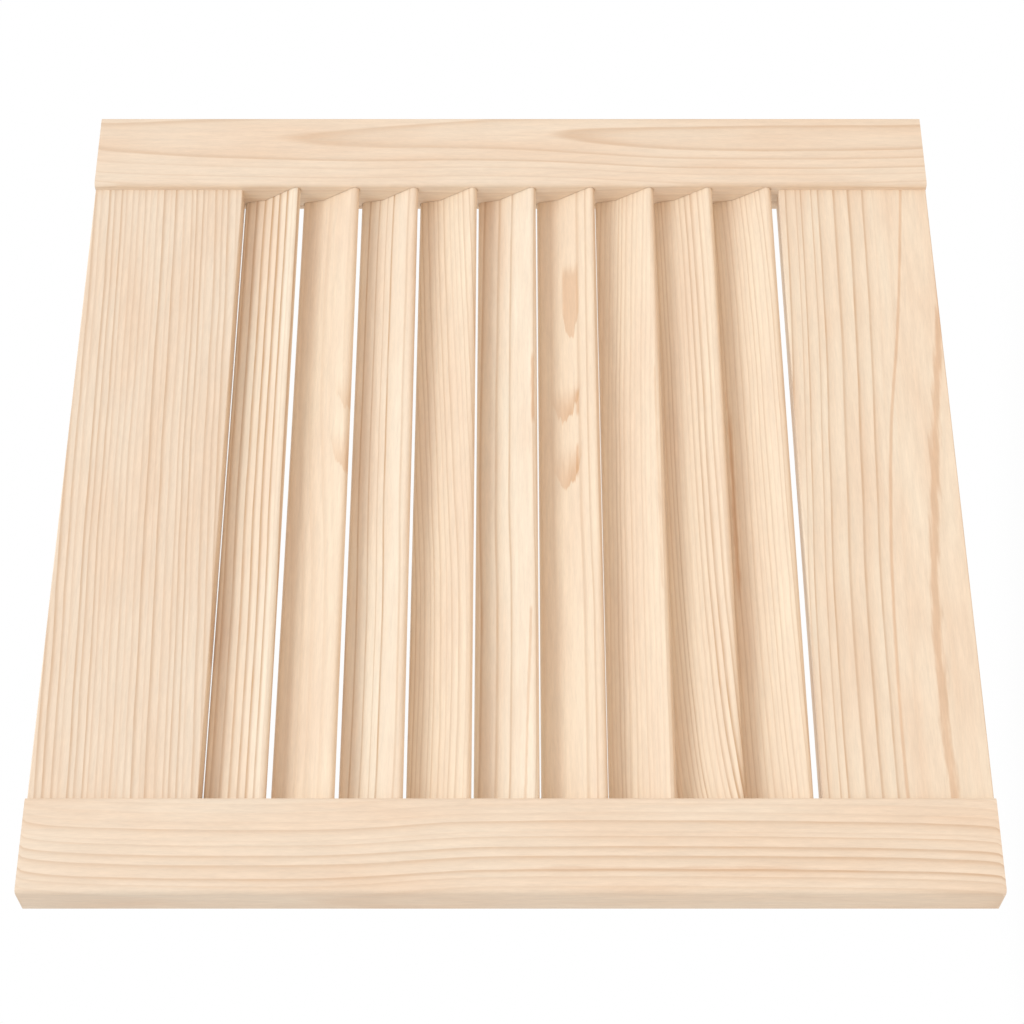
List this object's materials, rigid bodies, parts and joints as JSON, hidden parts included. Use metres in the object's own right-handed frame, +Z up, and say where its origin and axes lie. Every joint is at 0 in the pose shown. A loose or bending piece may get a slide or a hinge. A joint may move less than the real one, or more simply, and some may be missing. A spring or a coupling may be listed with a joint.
{
  "type": "louvred door",
  "caption": "Small bare pine louvred door leaf: stiles and rails round a ladder of fixed sloping slats, for a cupboard that has to breathe.",
  "frame": {"origin": "middle of the hinge edge: halfway up the left stile's outer edge, at mid-thickness", "axes": "+X across the door from the hinge edge, +Y from the front face to the back, +Z up the door"},
  "size_m": [0.395, 0.02, 0.395],
  "materials": {
    "stile_pine": "bare planed softwood, matt",
    "rail_pine": "bare planed softwood, matt",
    "slat_pine": "bare moulded softwood, matt"
  },
  "bodies": {
    "root": {"left_stile": "stile_pine", "right_stile": "stile_pine", "top_rail": "rail_pine", "bottom_rail": "rail_pine", "slat_1": "slat_pine", "slat_2": "slat_pine", "slat_3": "slat_pine", "slat_4": "slat_pine", "slat_5": "slat_pine", "slat_6": "slat_pine", "slat_7": "slat_pine", "slat_8": "slat_pine", "slat_9": "slat_pine"}
  },
  "joints": []
}
